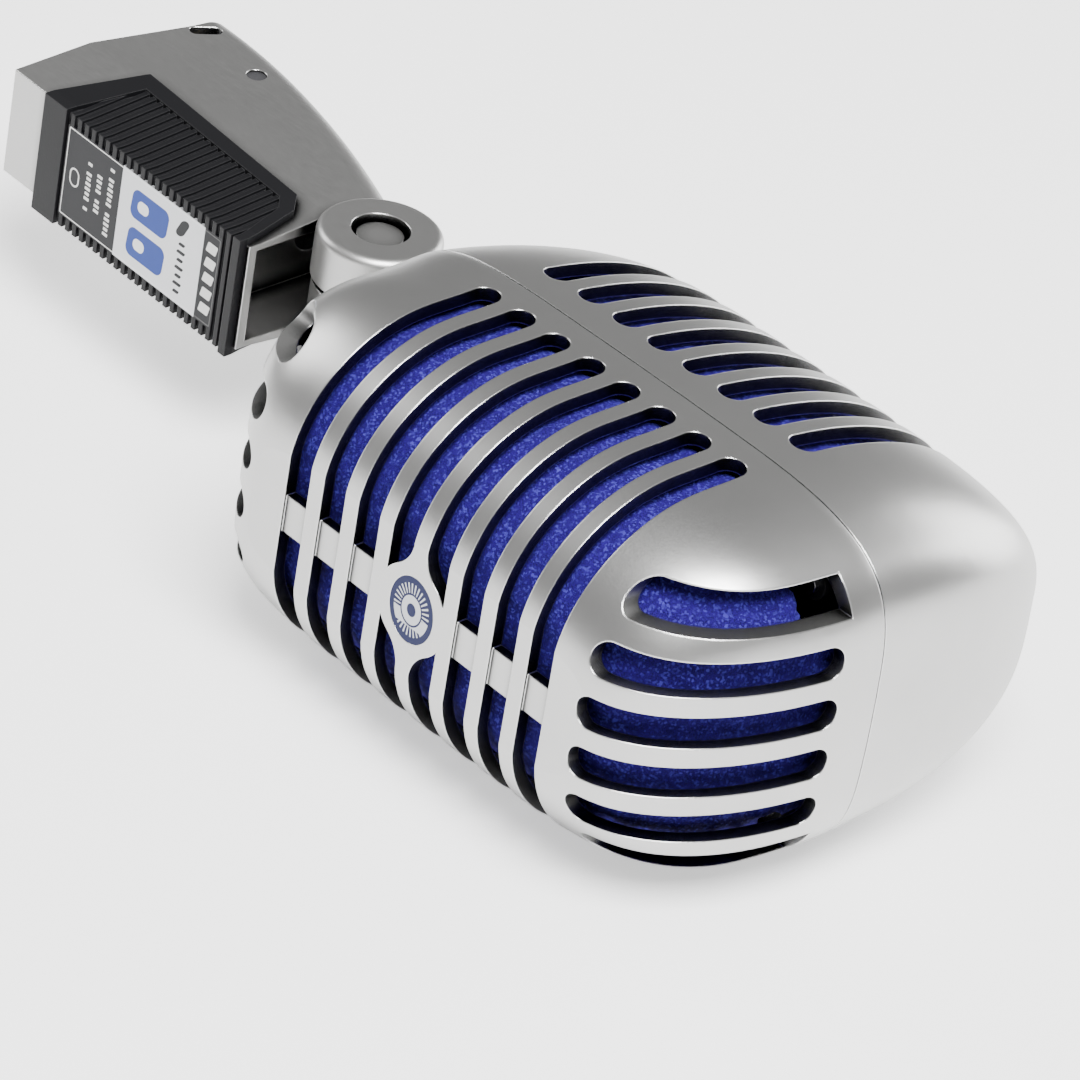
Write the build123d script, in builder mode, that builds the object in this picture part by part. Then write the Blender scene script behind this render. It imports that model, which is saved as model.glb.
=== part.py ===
"""Stage microphone: two slotted half shells tilt on a fork over a wedge-shaped base.

The microphone lies on one side of its head. +X runs from the stand thread to the crown, -Y is
the badge side, and the shape is mirrored about Z = 0. The origin is the centre of the stand
thread's mouth. Sizes are in millimetres.
"""

import os
from math import copysign, cos, pi, sin, sqrt

from build123d import *

os.makedirs("parts", exist_ok=True)

# head shells
seam_y = -5.3
crown_x = 186.4
chin_x = 85.0
widest_x = 140.0
head_half_width = 28.4
front_depth = 38.3
rear_depth = 41.6
crown_power = 4.2
chin_power = 5.8
shell_wall = 2.2
seam_gap = 0.25
section_count = 10
outline_points = 40

# where each wall of a half shell starts to bend over, how far it comes in, and its draft
front_side_start = 15.0
front_side_reach = 20.5
front_crown_start = 0.0
front_crown_reach = 20.5
front_chin_start = 16.0
front_chin_reach = 15.0
rear_side_start = 0.0
rear_side_reach = 17.5
rear_side_draft = 0.05
rear_crown_start = 10.5
rear_crown_reach = 12.0
rear_chin_start = 0.0
rear_chin_reach = 8.5
rear_chin_draft = 0.22
bend_margin = 0.2

# side slots
badge_x = 132.5
slot_pitch = 7.32
slot_width = 4.6
slot_count = 8
front_slot_tip = 4.2
rear_slot_tip = 5.8
bar_half_width = 3.0
bar_drop = 0.5

# crown and chin slots
end_slot_pitch = 8.3
end_slot_width = 5.1
end_slot_count = 6
crown_slot_tip = 7.3
crown_slot_x = 166.0
crown_corner_extra = 1.5
chin_slot_x = 96.5
chin_slot_tip = 22.0

# badge
badge_radius_x = 4.5
badge_radius_z = 5.3
boss_radius = 7.0
badge_thickness = 0.7
boss_fillet = 6.0

# studs that hold the frame to the front shell
stud_radius = 1.5
stud_boss_radius = 2.7
stud_crown_x = 175.5
stud_chin_x = 95.0
stud_z = 19.0
stud_boss_length = 3.0
stud_tip_length = 0.8
stud_room_radius = 5.5
stud_room_depth = 11.0
stud_head_radius = 2.6
stud_head_height = 1.6

# foam
foam_gap = 1.3
foam_thickness = 3.0
foam_start_front = 3.0
foam_start_rear = 5.4

# cartridge
case_setback = 8.0
case_radius = 13.5
case_wall = 1.2
case_length = 23.0
cap_thickness = 2.0
coil_radius = 8.0
coil_thickness = 0.7
coil_room = 0.4
coil_length = 5.5
pole_radius = 6.0
shock_thickness = 2.5
shock_width = 4.0
cradle_wall = 1.5
cradle_lug = 2.5
cradle_lug_width = 12.0
cradle_crown_x = 183.0
cradle_side_z = 25.4
cradle_front = 4.0
cap_hole_radius = 2.0
cap_hole_ring = 8.1
cap_inner_hole_radius = 1.5
cap_inner_hole_ring = 3.8

# distances behind the back of the front cap
coil_former_start = 1.0
film_start = 1.5
film_thickness = 0.4
pole_start = 4.0
top_plate_start = 4.5
magnet_start = 8.0
back_plate_start = 18.0
back_plate_end = 21.0
yoke_wall = 3.0
front_ring_start = 5.0
rear_ring_start = 20.0

# frame inside the seam
frame_gap = 0.45
frame_width = 4.0
frame_thickness = 5.0

# tilting joint
pivot_x = 67.3
pivot_y = 5.9
ear_radius = 9.6
ear_inner_z = 4.3
ear_outer_z = 12.5
ear_edge = 1.3
tongue_radius = 9.2
tongue_half_thickness = 3.2
pin_radius = 2.5
pin_clearance = 0.05
pin_head_radius = 3.6
pin_head_z = 11.5
recess_radius = 4.5
recess_depth = 3.4
washer_radius = 8.4
washer_gap = 0.05
neck_flange_x = 94.2
neck_flange_thickness = 3.0
neck_flange_depth = 22.0
neck_flange_width = 26.0
tongue_room = 0.4
neck_room_gap = 3.5
neck_room_length = 20.0
neck_room_side = 2.0
transformer_depth = 16.0
transformer_width = 18.0
transformer_length = 12.0
transformer_gap = 1.0
transformer_rounding = 1.5
tilt_back = 60.0

# base
base_end_x = 57.5
front_face_y = -8.8
front_face_slope = -0.035
thread_radius = 7.94
thread_depth = 10.0
wall_z_front = 8.9
wall_z_knee = 10.2
wall_z_rear = 10.9
knee_y = 5.2
rear_edge_fillet = 4.5
base_rear_y = 29.6
pocket_depth = 10.0
pocket_half_width = 7.9
pocket_wall = 1.6
pocket_rear_y = 14.5
channel_radius = 3.5
latch_x = 6.8
latch_y = 23.3
latch_length = 5.2
latch_width = 2.2
latch_turn = 58.0
set_screw_x = 21.0
set_screw_y = 21.5
set_screw_radius = 1.6

# three-pin connector
socket_y = 19.3
socket_tilt = 10.0
socket_radius = 9.55
socket_depth = 21.0
insert_thickness = 6.0
contact_radius = 1.2
contact_length = 8.0
mouth_depth = 6.5
mouth_step = 0.2
contact_places = ((3.5, 1.6), (-3.5, 1.6), (0, -3.4))

# nameplate
plate_start = 9.2
plate_end = 56.8
plate_rear_y = 5.8
plate_skin = 1.2
plate_front = 1.5
rib_count = 23
rib_gap = 0.85
rib_depth = 0.55
rib_drop = 0.3
rib_zone_start = 14.6
rib_zone_end = 55.2
label_start = 15.2
label_end = 52.6
label_half_width = 7.8
label_recess = 0.3


def bend(depth, start, full, reach, draft=0.0):
    """How far a wall has come in at this depth: a quarter ellipse on a straight draft."""
    if depth <= start:
        return draft * max(0.0, depth)
    part = (depth - start) / (full - start)
    return draft * depth + reach * (1 - sqrt(max(0.0, 1 - part * part)))


def outline(low_x, high_x, half_width):
    """Points of the closed head outline in a plane across the depth."""
    points = []
    middle = low_x + (high_x - low_x) * (widest_x - chin_x) / (crown_x - chin_x)
    for step in range(outline_points):
        angle = 2 * pi * (step + 0.5) / outline_points
        along = cos(angle)
        across = sin(angle)
        power = crown_power if along > 0 else chin_power
        reach = high_x - middle if along > 0 else middle - low_x
        x = middle + copysign(reach * abs(along) ** (2 / power), along)
        z = copysign(half_width * abs(across) ** (2 / power), across)
        points.append((x, z))
    return points


def outline_sketch(y, inset):
    """The head outline on one plane, shrunk by inset."""
    with BuildSketch(Plane.XZ.offset(-y)) as section:
        with BuildLine():
            Spline(
                outline(chin_x + inset, crown_x - inset, head_half_width - inset),
                periodic=True,
            )
        make_face()
    return section.sketch


def head_sections(side, inset, first_depth=0.0):
    """Sections of one half of the head from the seam outward, shrunk by inset."""
    if side < 0:
        cap = front_depth - inset
        side_bend = (front_side_start, cap + bend_margin, front_side_reach - inset)
        crown_bend = (front_crown_start, cap + bend_margin, front_crown_reach - inset)
        chin_bend = (front_chin_start, cap + bend_margin, front_chin_reach - inset)
    else:
        cap = rear_depth - inset
        side_bend = (rear_side_start, cap + bend_margin, rear_side_reach - inset, rear_side_draft)
        crown_bend = (rear_crown_start, cap + bend_margin, rear_crown_reach - inset)
        chin_bend = (rear_chin_start, cap + bend_margin, rear_chin_reach - inset, rear_chin_draft)
    sections = []
    for step in range(section_count + 1):
        depth = first_depth if step == 0 else cap * sin(pi / 2 * step / section_count)
        with BuildSketch(Plane.XZ.offset(-(seam_y + side * depth))) as section:
            with BuildLine():
                Spline(
                    outline(
                        chin_x + inset + bend(depth, *chin_bend),
                        crown_x - inset - bend(depth, *crown_bend),
                        head_half_width - inset - bend(depth, *side_bend),
                    ),
                    periodic=True,
                )
            make_face()
        sections.append(section.sketch)
    return sections


def slot_x(index):
    return badge_x + (index - (slot_count - 1) / 2) * slot_pitch


front_y = seam_y - front_depth
rear_y = seam_y + rear_depth
bar_y = front_y + bar_drop
far = 60.0
boss_slots = (slot_count // 2 - 1, slot_count // 2)
end_slot_z = [(index - (end_slot_count - 1) / 2) * end_slot_pitch for index in range(end_slot_count)]
neck_room_x = neck_flange_x + neck_flange_thickness + neck_room_gap - neck_room_length / 2
stud_places = [(x, z) for x in (stud_chin_x, stud_crown_x) for z in (-stud_z, stud_z)]

# slots beside the badge stop at an oval boss, which blends into the rib between them
with BuildPart(mode=Mode.PRIVATE) as badge_slots:
    with BuildSketch(Plane.XY) as badge_slot_outline:
        for index in boss_slots:
            tip_y = seam_y - front_slot_tip - slot_width / 2
            with Locations((slot_x(index), tip_y)):
                Circle(slot_width / 2)
            with Locations((slot_x(index), (tip_y - far) / 2)):
                Rectangle(slot_width, tip_y + far)
    extrude(amount=far, both=True)
    with BuildSketch(Plane((badge_x, -far, 0), x_dir=(1, 0, 0), z_dir=(0, -1, 0))) as boss_outline:
        Circle(boss_radius)
        Rectangle(slot_pitch - slot_width - 0.1, far)
        corners = [v for v in boss_outline.vertices() if abs(v.X) < boss_radius / 2]
        fillet([v for v in corners if abs(v.Y) < far / 4], boss_fillet)
    extrude(amount=-far / 2, mode=Mode.SUBTRACT)

with BuildPart(mode=Mode.PRIVATE) as crown_slot:
    with BuildSketch(Plane.YZ.offset(crown_slot_x)) as crown_slot_plan:
        with Locations((seam_y - crown_slot_tip - end_slot_width / 2, 0)):
            Circle(end_slot_width / 2)
        with Locations((seam_y - crown_slot_tip - end_slot_width / 2 - far / 2, 0)):
            Rectangle(far, end_slot_width)
    extrude(amount=far)
    with BuildSketch(Plane.XZ.offset(-seam_y)) as crown_slot_front:
        with Locations((crown_slot_x + end_slot_width / 2, 0)):
            Circle(end_slot_width / 2)
        with Locations((crown_slot_x + end_slot_width / 2 + far / 2, 0)):
            Rectangle(far, end_slot_width)
    extrude(amount=far, mode=Mode.INTERSECT)

with BuildPart(mode=Mode.PRIVATE) as crown_corner_slot:
    with BuildSketch(Plane.XZ.offset(-(seam_y - crown_slot_tip + crown_corner_extra))):
        with Locations((crown_slot_x + end_slot_width / 2, 0)):
            Circle(end_slot_width / 2)
        with Locations((crown_slot_x + end_slot_width / 2 + far / 2, 0)):
            Rectangle(far, end_slot_width)
    extrude(amount=far)

with BuildPart(mode=Mode.PRIVATE) as chin_slot:
    with BuildSketch(Plane.YZ.offset(chin_slot_x - far)):
        with Locations((seam_y - chin_slot_tip - end_slot_width / 2, 0)):
            Circle(end_slot_width / 2)
        with Locations((seam_y - chin_slot_tip - end_slot_width / 2 - far / 2, 0)):
            Rectangle(far, end_slot_width)
    extrude(amount=far)
    with BuildSketch(Plane.XZ.offset(-seam_y)):
        with Locations((chin_slot_x - end_slot_width / 2, 0)):
            Circle(end_slot_width / 2)
        with Locations((chin_slot_x - end_slot_width / 2 - far / 2, 0)):
            Rectangle(far, end_slot_width)
    extrude(amount=far, mode=Mode.INTERSECT)

with BuildPart() as front_grille:
    loft(head_sections(-1, 0.0, seam_gap / 2))
    loft(head_sections(-1, shell_wall, -1.0), mode=Mode.SUBTRACT)
    for index in range(slot_count):
        if index in boss_slots:
            continue
        tip_y = seam_y - front_slot_tip - slot_width / 2
        with BuildSketch(Plane.XY.offset(bar_half_width)):
            with Locations((slot_x(index), tip_y)):
                Circle(slot_width / 2)
            with Locations((slot_x(index), (tip_y - far) / 2)):
                Rectangle(slot_width, tip_y + far)
        extrude(amount=far, mode=Mode.SUBTRACT)
        with BuildSketch(Plane.XY.offset(-bar_half_width)):
            with Locations((slot_x(index), tip_y)):
                Circle(slot_width / 2)
            with Locations((slot_x(index), (tip_y - far) / 2)):
                Rectangle(slot_width, tip_y + far)
        extrude(amount=-far, mode=Mode.SUBTRACT)
        with Locations((slot_x(index), (bar_y - far) / 2, 0)):
            Box(slot_width, bar_y + far, 2 * bar_half_width, mode=Mode.SUBTRACT)
    add(badge_slots.part, mode=Mode.SUBTRACT)
    for z in end_slot_z:
        corner = abs(z) > end_slot_pitch * (end_slot_count - 2) / 2
        with Locations((0, 0, z)):
            add((crown_corner_slot if corner else crown_slot).part, mode=Mode.SUBTRACT)
            add(chin_slot.part, mode=Mode.SUBTRACT)
    with BuildSketch(Plane.XZ.offset(-(front_y + badge_thickness))):
        with Locations((badge_x, 0)):
            Ellipse(badge_radius_x, badge_radius_z)
    extrude(amount=far, mode=Mode.SUBTRACT)
front_grille.part.label = "front_grille"
export_step(front_grille.part, "parts/front_grille.step")

with BuildPart() as rear_grille:
    loft(head_sections(1, 0.0, seam_gap / 2))
    loft(head_sections(1, shell_wall, -1.0), mode=Mode.SUBTRACT)
    for index in range(slot_count):
        tip_y = seam_y + rear_slot_tip + slot_width / 2
        with BuildSketch(Plane.XY.offset(bar_half_width)) as upper_slot:
            with Locations((slot_x(index), tip_y)):
                Circle(slot_width / 2)
            with Locations((slot_x(index), (tip_y + far) / 2)):
                Rectangle(slot_width, far - tip_y)
        extrude(amount=far, mode=Mode.SUBTRACT)
        with BuildSketch(Plane.XY.offset(-bar_half_width)) as lower_slot:
            with Locations((slot_x(index), tip_y)):
                Circle(slot_width / 2)
            with Locations((slot_x(index), (tip_y + far) / 2)):
                Rectangle(slot_width, far - tip_y)
        extrude(amount=-far, mode=Mode.SUBTRACT)
        with Locations((slot_x(index), (rear_y - bar_drop + far) / 2, 0)):
            Box(slot_width, far - rear_y + bar_drop, 2 * bar_half_width, mode=Mode.SUBTRACT)
    # the tongue of the neck passes through the chin
    with Locations(((chin_x + neck_flange_x) / 2, pivot_y, 0)):
        Box(
            neck_flange_x - chin_x + shell_wall,
            2 * (tongue_radius + tongue_room),
            2 * (tongue_half_thickness + tongue_room),
            mode=Mode.SUBTRACT,
        )
rear_grille.part.label = "rear_grille"
export_step(rear_grille.part, "parts/rear_grille.step")

with BuildPart() as badge:
    with BuildSketch(Plane.XZ.offset(-(front_y + badge_thickness))):
        with Locations((badge_x, 0)):
            Ellipse(badge_radius_x, badge_radius_z)
    extrude(amount=badge_thickness)
badge.part.label = "badge"
export_step(badge.part, "parts/badge.step")

# room round each stud, where the foam stands back
with BuildPart(mode=Mode.PRIVATE) as stud_rooms:
    for x, z in stud_places:
        with BuildSketch(Plane((x, seam_y, z), z_dir=(0, -1, 0))):
            Circle(stud_room_radius)
        extrude(amount=stud_room_depth)

with BuildPart() as front_foam:
    loft(head_sections(-1, shell_wall + foam_gap, foam_start_front))
    loft(
        head_sections(-1, shell_wall + foam_gap + foam_thickness, foam_start_front - 1),
        mode=Mode.SUBTRACT,
    )
    with Locations((neck_room_x, pivot_y, 0)):
        Box(
            neck_room_length,
            neck_flange_depth + neck_room_side,
            neck_flange_width + neck_room_side,
            mode=Mode.SUBTRACT,
        )
    add(stud_rooms.part, mode=Mode.SUBTRACT)
front_foam.part.label = "front_foam"
export_step(front_foam.part, "parts/front_foam.step")

with BuildPart() as rear_foam:
    loft(head_sections(1, shell_wall + foam_gap, foam_start_rear))
    loft(
        head_sections(1, shell_wall + foam_gap + foam_thickness, foam_start_rear - 1),
        mode=Mode.SUBTRACT,
    )
    with Locations((neck_room_x, pivot_y, 0)):
        Box(
            neck_room_length,
            neck_flange_depth + neck_room_side,
            neck_flange_width + neck_room_side,
            mode=Mode.SUBTRACT,
        )
rear_foam.part.label = "rear_foam"
export_step(rear_foam.part, "parts/rear_foam.step")

with BuildPart() as seam_frame:
    extrude(outline_sketch(seam_y, shell_wall + frame_gap), amount=frame_thickness / 2, both=True)
    extrude(
        outline_sketch(seam_y, shell_wall + frame_gap + frame_width),
        amount=frame_thickness / 2,
        both=True,
        mode=Mode.SUBTRACT,
    )
    with Locations([(x, seam_y, z) for x, z in stud_places]):
        Box(2 * stud_boss_radius, frame_thickness, 2 * stud_boss_radius)
    for x, z in stud_places:
        with BuildSketch(Plane((x, seam_y - frame_thickness / 2, z), z_dir=(0, -1, 0))):
            Circle(stud_boss_radius)
        extrude(amount=stud_boss_length)
    with Locations([(x, seam_y, z) for x, z in stud_places]):
        Cylinder(stud_radius, far, rotation=(90, 0, 0), mode=Mode.SUBTRACT)
    with Locations((neck_room_x, pivot_y, 0)):
        Box(
            neck_room_length,
            neck_flange_depth + 4 * neck_room_side,
            neck_flange_width + neck_room_side,
            mode=Mode.SUBTRACT,
        )
seam_frame.part.label = "seam_frame"
export_step(seam_frame.part, "parts/seam_frame.step")

with BuildPart() as frame_screws:
    for x, z in stud_places:
        with BuildSketch(Plane((x, seam_y + frame_thickness / 2, z), z_dir=(0, 1, 0))):
            Circle(stud_head_radius)
        extrude(amount=stud_head_height)
        with BuildSketch(Plane((x, seam_y + frame_thickness / 2, z), z_dir=(0, -1, 0))):
            Circle(stud_radius)
        extrude(amount=frame_thickness + stud_boss_length + stud_tip_length)
frame_screws.part.label = "frame_screws"
export_step(frame_screws.part, "parts/frame_screws.step")

# cartridge, built along its axis from the front cap backwards
case_front_y = front_y + case_setback


def cartridge_plane(distance):
    return Plane((badge_x, case_front_y + distance, 0), x_dir=(1, 0, 0), z_dir=(0, 1, 0))


with BuildPart() as cartridge_case:
    with BuildSketch(cartridge_plane(cap_thickness)):
        Circle(case_radius)
    extrude(amount=case_length)
    with BuildSketch(cartridge_plane(cap_thickness)):
        Circle(case_radius - case_wall)
    extrude(amount=case_length - case_wall, mode=Mode.SUBTRACT)
cartridge_case.part.label = "cartridge_case"
export_step(cartridge_case.part, "parts/cartridge_case.step")

with BuildPart() as front_cap:
    with BuildSketch(cartridge_plane(0)):
        Circle(case_radius)
        with PolarLocations(cap_hole_ring, 8):
            Circle(cap_hole_radius, mode=Mode.SUBTRACT)
        with PolarLocations(cap_inner_hole_ring, 4):
            Circle(cap_inner_hole_radius, mode=Mode.SUBTRACT)
    extrude(amount=cap_thickness)
front_cap.part.label = "front_cap"
export_step(front_cap.part, "parts/front_cap.step")

with BuildPart() as diaphragm:
    with BuildSketch(cartridge_plane(cap_thickness + film_start)):
        Circle(case_radius - case_wall)
    extrude(amount=film_thickness)
    with BuildSketch(cartridge_plane(cap_thickness + coil_former_start)):
        Circle(coil_radius)
    extrude(amount=film_start - coil_former_start)
diaphragm.part.label = "diaphragm"
export_step(diaphragm.part, "parts/diaphragm.step")

with BuildPart() as voice_coil:
    with BuildSketch(cartridge_plane(cap_thickness + film_start + film_thickness)):
        Circle(coil_radius)
        Circle(coil_radius - coil_thickness, mode=Mode.SUBTRACT)
    extrude(amount=coil_length)
voice_coil.part.label = "voice_coil"
export_step(voice_coil.part, "parts/voice_coil.step")

with BuildPart() as yoke:
    with BuildSketch(cartridge_plane(cap_thickness + top_plate_start)):
        Circle(case_radius - case_wall)
        Circle(coil_radius + coil_room, mode=Mode.SUBTRACT)
    extrude(amount=magnet_start - top_plate_start)
    with BuildSketch(cartridge_plane(cap_thickness + magnet_start)):
        Circle(case_radius - case_wall)
        Circle(case_radius - case_wall - yoke_wall, mode=Mode.SUBTRACT)
    extrude(amount=back_plate_start - magnet_start)
    with BuildSketch(cartridge_plane(cap_thickness + back_plate_start)):
        Circle(case_radius - case_wall)
    extrude(amount=back_plate_end - back_plate_start)
yoke.part.label = "yoke"
export_step(yoke.part, "parts/yoke.step")

with BuildPart() as magnet:
    with BuildSketch(cartridge_plane(cap_thickness + magnet_start)):
        Circle(pole_radius)
    extrude(amount=back_plate_start - magnet_start)
magnet.part.label = "magnet"
export_step(magnet.part, "parts/magnet.step")

with BuildPart() as pole_piece:
    with BuildSketch(cartridge_plane(cap_thickness + pole_start)):
        Circle(coil_radius - coil_thickness - coil_room)
    extrude(amount=magnet_start - pole_start)
pole_piece.part.label = "pole_piece"
export_step(pole_piece.part, "parts/pole_piece.step")

for label, distance in (
    ("shock_ring_front", front_ring_start),
    ("shock_ring_rear", rear_ring_start),
):
    with BuildPart() as shock_ring:
        with BuildSketch(cartridge_plane(distance)):
            Circle(case_radius + shock_thickness)
            Circle(case_radius, mode=Mode.SUBTRACT)
        extrude(amount=shock_width)
    shock_ring.part.label = label
    export_step(shock_ring.part, f"parts/{label}.step")

cradle_end = seam_y + frame_thickness / 2 + cradle_lug - case_front_y
with BuildPart() as cradle:
    with BuildSketch(cartridge_plane(cradle_front)):
        Circle(case_radius + shock_thickness + cradle_wall)
        Circle(case_radius + shock_thickness, mode=Mode.SUBTRACT)
    extrude(amount=cradle_end - cradle_front)
    with BuildSketch(cartridge_plane(cradle_end)):
        Rectangle(cradle_lug_width, 2 * cradle_side_z)
        with Locations(((cradle_crown_x - badge_x) / 2, 0)):
            Rectangle(cradle_crown_x - badge_x, cradle_lug_width)
        Circle(case_radius + shock_thickness, mode=Mode.SUBTRACT)
    extrude(amount=-cradle_lug)
cradle.part.label = "cradle"
export_step(cradle.part, "parts/cradle.step")

# neck: a flange inside the chin and a round-ended tongue that tilts between the ears
with BuildPart() as neck:
    with BuildSketch(Plane.XY.offset(-tongue_half_thickness)):
        with Locations((pivot_x, pivot_y)):
            Circle(tongue_radius)
        with Locations(((pivot_x + neck_flange_x) / 2, pivot_y)):
            Rectangle(neck_flange_x - pivot_x, 2 * tongue_radius)
        with Locations((pivot_x, pivot_y)):
            Circle(pin_radius + pin_clearance, mode=Mode.SUBTRACT)
    extrude(amount=2 * tongue_half_thickness)
    with Locations((neck_flange_x + neck_flange_thickness / 2, pivot_y, 0)):
        Box(neck_flange_thickness, neck_flange_depth, neck_flange_width)
neck.part.label = "neck"
export_step(neck.part, "parts/neck.step")

with BuildPart() as transformer:
    transformer_x = neck_flange_x + neck_flange_thickness + transformer_length / 2
    with Locations((transformer_x, pivot_y + transformer_gap, 0)):
        Box(transformer_length, transformer_depth, transformer_width)
    fillet(transformer.edges().filter_by(Axis.X), transformer_rounding)
transformer.part.label = "transformer"
export_step(transformer.part, "parts/transformer.step")

# base: a wedge with a flared section, a fork at its upper end and two sockets in its foot
front_plane = Plane(
    origin=(0, front_face_y, 0),
    x_dir=(1, front_face_slope, 0),
    z_dir=(front_face_slope, -1, 0),
)
front_end_y = front_face_y + front_face_slope * base_end_x
socket_mouth = (1.2 + (socket_y - knee_y) * 0.22, socket_y, 0)
socket_plane = Plane(
    origin=socket_mouth,
    x_dir=(0, 0, 1),
    z_dir=(cos(pi * socket_tilt / 180), -sin(pi * socket_tilt / 180), 0),
)
socket_end = socket_plane.offset(socket_depth)

with BuildPart() as base_body:
    with BuildSketch(Plane.XY) as base_side:
        with BuildLine():
            Polyline(
                (base_end_x, front_end_y),
                (0, front_face_y),
                (0.8, knee_y),
                (4.6, knee_y + 17.0),
                (5.6, base_rear_y),
            )
            Spline(
                (5.6, base_rear_y),
                (15.5, base_rear_y - 0.6),
                (30, base_rear_y - 3.2),
                (44, base_rear_y - 7.2),
                (base_end_x + 6, base_rear_y - 15.0),
            )
            Polyline(
                (base_end_x + 6, base_rear_y - 15.0),
                (base_end_x, pivot_y),
                (base_end_x, front_end_y),
            )
        make_face()
    extrude(amount=far / 2, both=True)
    with BuildSketch(Plane.YZ.offset(-1)) as base_section:
        with BuildLine():
            Polyline(
                (-far, wall_z_front),
                (front_face_y, wall_z_front),
                (knee_y, wall_z_knee),
                (far, wall_z_rear),
                (far, -wall_z_rear),
                (knee_y, -wall_z_knee),
                (front_face_y, -wall_z_front),
                (-far, -wall_z_front),
                close=True,
            )
        make_face()
    extrude(amount=2 * far, mode=Mode.INTERSECT)
    rear_edges = base_body.edges().filter_by(
        lambda e: (e @ 0.5).Y > pivot_y + 8 and abs((e @ 0.5).Z) > 5 and 8 < (e @ 0.5).X < 60
    )
    fillet(rear_edges, rear_edge_fillet)
    # hollow from the fork down to the connector
    with BuildSketch(Plane.YZ.offset(base_end_x - pocket_depth)):
        with Locations(((front_end_y + pocket_wall + pocket_rear_y) / 2, 0)):
            Rectangle(pocket_rear_y - front_end_y - pocket_wall, 2 * pocket_half_width)
    extrude(amount=pocket_depth + 1, mode=Mode.SUBTRACT)
    # ears
    with BuildSketch(Plane.XY.offset(ear_inner_z)):
        with Locations((pivot_x, pivot_y)):
            Circle(ear_radius)
    extrude(amount=ear_outer_z - ear_inner_z)
    with BuildSketch(Plane.XY.offset(-ear_inner_z)):
        with Locations((pivot_x, pivot_y)):
            Circle(ear_radius)
    extrude(amount=ear_inner_z - ear_outer_z)
    rims = base_body.edges().filter_by(GeomType.CIRCLE).filter_by(
        lambda e: abs(abs(e.center().Z) - ear_outer_z) < 0.01
    )
    fillet(rims, ear_edge)
    with Locations((pivot_x, pivot_y, 0)):
        Cylinder(tongue_radius + tongue_room + 0.2, 2 * ear_inner_z, mode=Mode.SUBTRACT)
        Cylinder(pin_radius, far, mode=Mode.SUBTRACT)
    with BuildSketch(Plane.XY.offset(-ear_inner_z)):
        with Locations(Location((pivot_x, pivot_y, 0), (0, 0, tilt_back))):
            with Locations((far / 2, 0)):
                Rectangle(far, 2 * (tongue_radius + tongue_room))
    extrude(amount=2 * ear_inner_z, mode=Mode.SUBTRACT)
    with Locations(
        (pivot_x, pivot_y, ear_outer_z - recess_depth / 2),
        (pivot_x, pivot_y, recess_depth / 2 - ear_outer_z),
    ):
        Cylinder(recess_radius, recess_depth, mode=Mode.SUBTRACT)
    # stand thread and connector socket
    with BuildSketch(Plane.YZ.offset(-1)):
        Circle(thread_radius)
    extrude(amount=thread_depth + 1, mode=Mode.SUBTRACT)
    with BuildSketch(socket_plane):
        Circle(socket_radius - mouth_step)
    extrude(amount=socket_depth, mode=Mode.SUBTRACT)
    with BuildSketch(socket_plane.offset(-6)):
        Circle(socket_radius)
    extrude(amount=mouth_depth + 6, mode=Mode.SUBTRACT)
    # lead channel from the socket to the hollow
    with BuildSketch(socket_end):
        Circle(channel_radius)
    extrude(amount=far / 2, mode=Mode.SUBTRACT)
    # latch opening and screw hole on both flanks
    with BuildSketch(Plane.XY.offset(wall_z_front - 3)):
        with Locations((latch_x, latch_y)):
            SlotOverall(latch_length, latch_width, rotation=latch_turn)
    extrude(amount=6, mode=Mode.SUBTRACT)
    with BuildSketch(Plane.XY.offset(wall_z_front - 3)):
        with Locations((set_screw_x, set_screw_y)):
            Circle(set_screw_radius)
    extrude(amount=6, mode=Mode.SUBTRACT)
base_body.part.label = "base_body"
export_step(base_body.part, "parts/base_body.step")

with BuildPart() as pivot_pin:
    with Locations((pivot_x, pivot_y, 0)):
        Cylinder(pin_radius, 2 * (ear_outer_z - recess_depth))
    with Locations(
        (pivot_x, pivot_y, (ear_outer_z - recess_depth + pin_head_z) / 2),
        (pivot_x, pivot_y, -(ear_outer_z - recess_depth + pin_head_z) / 2),
    ):
        Cylinder(pin_head_radius, pin_head_z - ear_outer_z + recess_depth)
pivot_pin.part.label = "pivot_pin"
export_step(pivot_pin.part, "parts/pivot_pin.step")

washer_thickness = ear_inner_z - tongue_half_thickness - washer_gap
for label, low_z in (
    ("upper_washer", tongue_half_thickness + washer_gap),
    ("lower_washer", -ear_inner_z),
):
    with BuildPart() as washer:
        with BuildSketch(Plane.XY.offset(low_z)):
            with Locations((pivot_x, pivot_y)):
                Circle(washer_radius)
                Circle(pin_radius, mode=Mode.SUBTRACT)
        extrude(amount=washer_thickness)
    washer.part.label = label
    export_step(washer.part, f"parts/{label}.step")


def wrap(skin, front):
    """A block as wide as the base's flanks grown by skin, up to its front face grown by front."""
    with BuildPart(mode=Mode.PRIVATE) as block:
        with BuildSketch(Plane.YZ.offset(-far)):
            with BuildLine():
                Polyline(
                    (-far, wall_z_front + skin),
                    (front_face_y, wall_z_front + skin),
                    (knee_y, wall_z_knee + skin),
                    (far, wall_z_rear + skin),
                    (far, -wall_z_rear - skin),
                    (knee_y, -wall_z_knee - skin),
                    (front_face_y, -wall_z_front - skin),
                    (-far, -wall_z_front - skin),
                    close=True,
                )
            make_face()
        extrude(amount=4 * far)
        split(bisect_by=front_plane.offset(front), keep=Keep.BOTTOM)
    return block.part


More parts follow.
